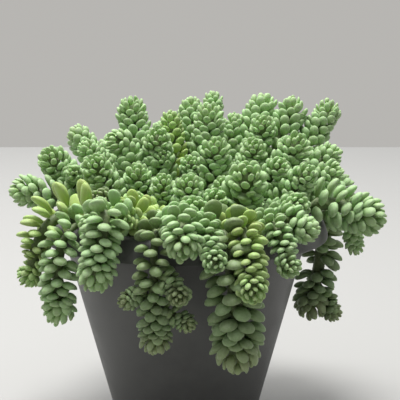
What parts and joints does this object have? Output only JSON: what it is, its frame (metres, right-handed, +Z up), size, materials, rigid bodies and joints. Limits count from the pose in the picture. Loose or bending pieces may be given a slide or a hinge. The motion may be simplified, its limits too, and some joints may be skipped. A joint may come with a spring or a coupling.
{
  "type": "potted sedum",
  "caption": "Small-leaved sedum with plump glaucous leaves, filling and spilling over the projecting lip of a round tapered gray plastic pot.",
  "frame": {"origin": "centre of the underside of the pot's foot", "axes": "+Z up the pot's axis, -Y towards the picture's viewer, +X to the viewer's right"},
  "size_m": [0.1634, 0.1666, 0.1415],
  "materials": {
    "pot_plastic": "matte moulded gray",
    "potting_mix": "loose dark potting mix; wood stands for it, since it is mostly bark and peat",
    "glaucous_leaf": "plump leaf with a waxy blue-green bloom; rubber stands for the soft flesh",
    "yellow_green_leaf": "plump older leaf, yellow-green with less bloom; rubber stands for the soft flesh",
    "shaded_leaf": "plump leaf of the shaded stems below the lip, dark green; rubber stands for the soft flesh"
  },
  "bodies": {
    "root": {"pot": "pot_plastic", "potting_mix": "potting_mix", "stem_top_01": "glaucous_leaf", "stem_top_02": "glaucous_leaf", "stem_top_03": "glaucous_leaf", "stem_top_04": "glaucous_leaf", "stem_top_05": "glaucous_leaf", "stem_top_06": "glaucous_leaf", "stem_top_07": "glaucous_leaf", "stem_top_08": "glaucous_leaf", "stem_top_09": "glaucous_leaf", "stem_top_10": "glaucous_leaf", "stem_top_11": "glaucous_leaf", "stem_top_12": "glaucous_leaf", "stem_top_13": "glaucous_leaf", "stem_top_14": "yellow_green_leaf", "stem_top_15": "glaucous_leaf", "stem_top_16": "glaucous_leaf", "stem_top_17": "glaucous_leaf", "stem_front_01": "glaucous_leaf", "stem_front_02": "glaucous_leaf", "stem_front_03": "glaucous_leaf", "stem_front_04": "glaucous_leaf", "stem_front_05": "glaucous_leaf", "stem_front_06": "glaucous_leaf", "stem_front_07": "glaucous_leaf", "stem_front_08": "yellow_green_leaf", "stem_front_09": "shaded_leaf", "stem_front_10": "glaucous_leaf", "stem_front_11": "glaucous_leaf", "stem_front_12": "glaucous_leaf", "stem_front_13": "glaucous_leaf", "stem_front_14": "glaucous_leaf", "stem_front_15": "glaucous_leaf", "stem_front_16": "yellow_green_leaf", "stem_left_01": "glaucous_leaf", "stem_left_02": "glaucous_leaf", "stem_left_03": "glaucous_leaf", "stem_left_04": "glaucous_leaf", "stem_left_05": "glaucous_leaf", "stem_right_01": "glaucous_leaf", "stem_right_02": "glaucous_leaf", "stem_right_03": "glaucous_leaf", "stem_hanging_01": "yellow_green_leaf", "stem_hanging_02": "glaucous_leaf", "stem_hanging_03": "glaucous_leaf", "stem_hanging_04": "shaded_leaf", "stem_hanging_05": "yellow_green_leaf", "stem_hanging_06": "shaded_leaf", "stem_hanging_07": "shaded_leaf", "stem_back_01": "glaucous_leaf", "stem_back_02": "glaucous_leaf", "stem_back_03": "glaucous_leaf", "stem_back_04": "glaucous_leaf", "stem_back_05": "shaded_leaf", "stem_back_06": "shaded_leaf", "stem_back_07": "glaucous_leaf", "stem_back_08": "glaucous_leaf", "stem_back_09": "shaded_leaf", "stem_back_10": "glaucous_leaf"}
  },
  "joints": []
}
